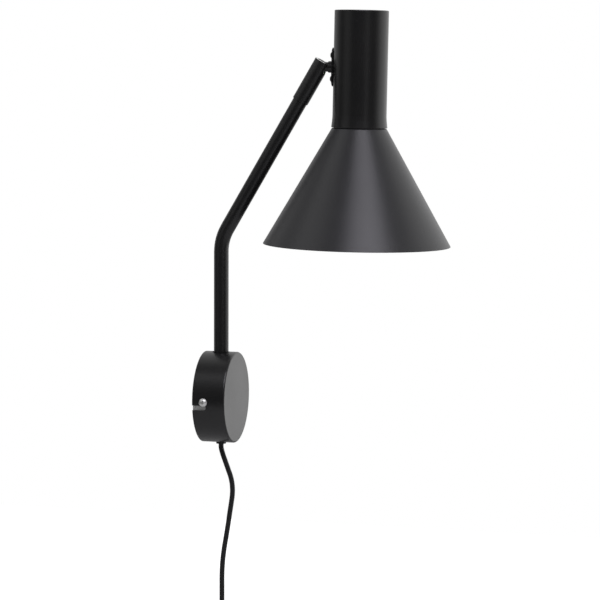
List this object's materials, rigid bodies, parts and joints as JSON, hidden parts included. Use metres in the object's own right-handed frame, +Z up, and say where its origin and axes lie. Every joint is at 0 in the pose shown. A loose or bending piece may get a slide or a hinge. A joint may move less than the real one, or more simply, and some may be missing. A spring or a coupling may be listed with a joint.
{
  "type": "swing arm wall lamp",
  "caption": "Plug-in wall lamp: round canopy, bent arm that swings, slotted ball knuckle, and a cone shade under a slim lamp housing that tilts and turns.",
  "frame": {"origin": "centre of the canopy on the wall face", "axes": "+X out of the wall, +Z up, Y along the wall"},
  "size_m": [0.2415, 0.18, 0.8062],
  "materials": {
    "black_coat": "satin black powder coat with a fine grain",
    "shade_coat": "satin black powder coat with a fine grain",
    "black_steel": "blackened steel, bare at the cut edges",
    "zinc": "bright zinc plate",
    "raw_steel": "oiled mild steel",
    "black_plastic": "black moulded plastic",
    "switch_plastic": "black moulded plastic, fine spark texture",
    "rocker_plastic": "polished black plastic",
    "cord_jacket": "black flexible jacket",
    "tie_strap": "black woven hook-and-loop strap",
    "plug_plastic": "black moulded plastic",
    "nickel": "nickel plate",
    "nylon": "natural nylon",
    "brass": "plain brass",
    "lead_sheath": "white flexible sheath",
    "bulb_plastic": "white moulded plastic",
    "bulb_opal": "opal diffuser"
  },
  "bodies": {
    "base": {"wall_bracket": "zinc", "canopy_shell": "black_coat", "locking_screws": "zinc", "cord_bush": "black_plastic", "swivel_bracket": "raw_steel", "swivel_bush": "black_plastic", "thrust_washer": "nylon", "terminal_block": "nylon", "terminal_barrels": "brass", "terminal_screws": "brass", "block_screws": "zinc", "inlet_lead": "cord_jacket", "link_lead": "lead_sheath", "power_cord": "cord_jacket", "switch_base": "switch_plastic", "switch_cover": "switch_plastic", "switch_screws": "zinc", "coil_lead": "cord_jacket", "cord_coil": "cord_jacket", "coil_tie": "tie_strap", "plug_lead": "cord_jacket", "plug_body": "plug_plastic", "plug_pins": "nickel"},
    "rocker": {"switch_rocker": "rocker_plastic"},
    "arm": {"arm_tube": "black_coat", "arm_spigot": "raw_steel", "stop_washer": "raw_steel", "wave_washer": "zinc", "swivel_nut": "zinc", "arm_lead": "lead_sheath", "joint_barrel": "black_steel", "barrel_screw": "black_steel", "ball_seat": "nylon", "ball_spring": "raw_steel"},
    "knuckle": {"ball_neck": "black_steel", "neck_washer": "zinc", "neck_nut": "zinc", "neck_lead": "lead_sheath"},
    "head": {"mounting_plate": "black_coat", "plate_screws": "black_steel", "lamp_housing": "black_coat", "holder_bracket": "raw_steel", "holder_nipple": "raw_steel", "holder_nut": "zinc", "holder_cap": "black_plastic", "holder_body": "black_plastic", "holder_shell": "brass", "holder_contact": "brass", "shade_ring": "black_plastic", "cone_shade": "shade_coat", "bulb_cap": "nickel", "bulb_collar": "bulb_plastic", "bulb_globe": "bulb_opal", "head_lead": "lead_sheath"}
  },
  "joints": [
    {"name": "arm_swing", "type": "hinge", "parent": "base", "child": "arm", "pos_m": [0.016, 0, 0.033], "axis": [0, 0, 1], "range_deg": [-50, 50]},
    {"name": "head_tilt", "type": "hinge", "parent": "arm", "child": "knuckle", "pos_m": [0.11417, 0, 0.32233], "axis": [0, 1, 0], "range_deg": [-60, 8]},
    {"name": "head_turn", "type": "hinge", "parent": "knuckle", "child": "head", "pos_m": [0.11417, 0, 0.32233], "axis": [0.9999, 0, -0.0157], "range_deg": [-90, 90]},
    {"name": "switch_rock", "type": "hinge", "parent": "base", "child": "rocker", "pos_m": [0.022, 0, -0.245], "axis": [0, 1, 0], "range_deg": [0, 16]}
  ]
}
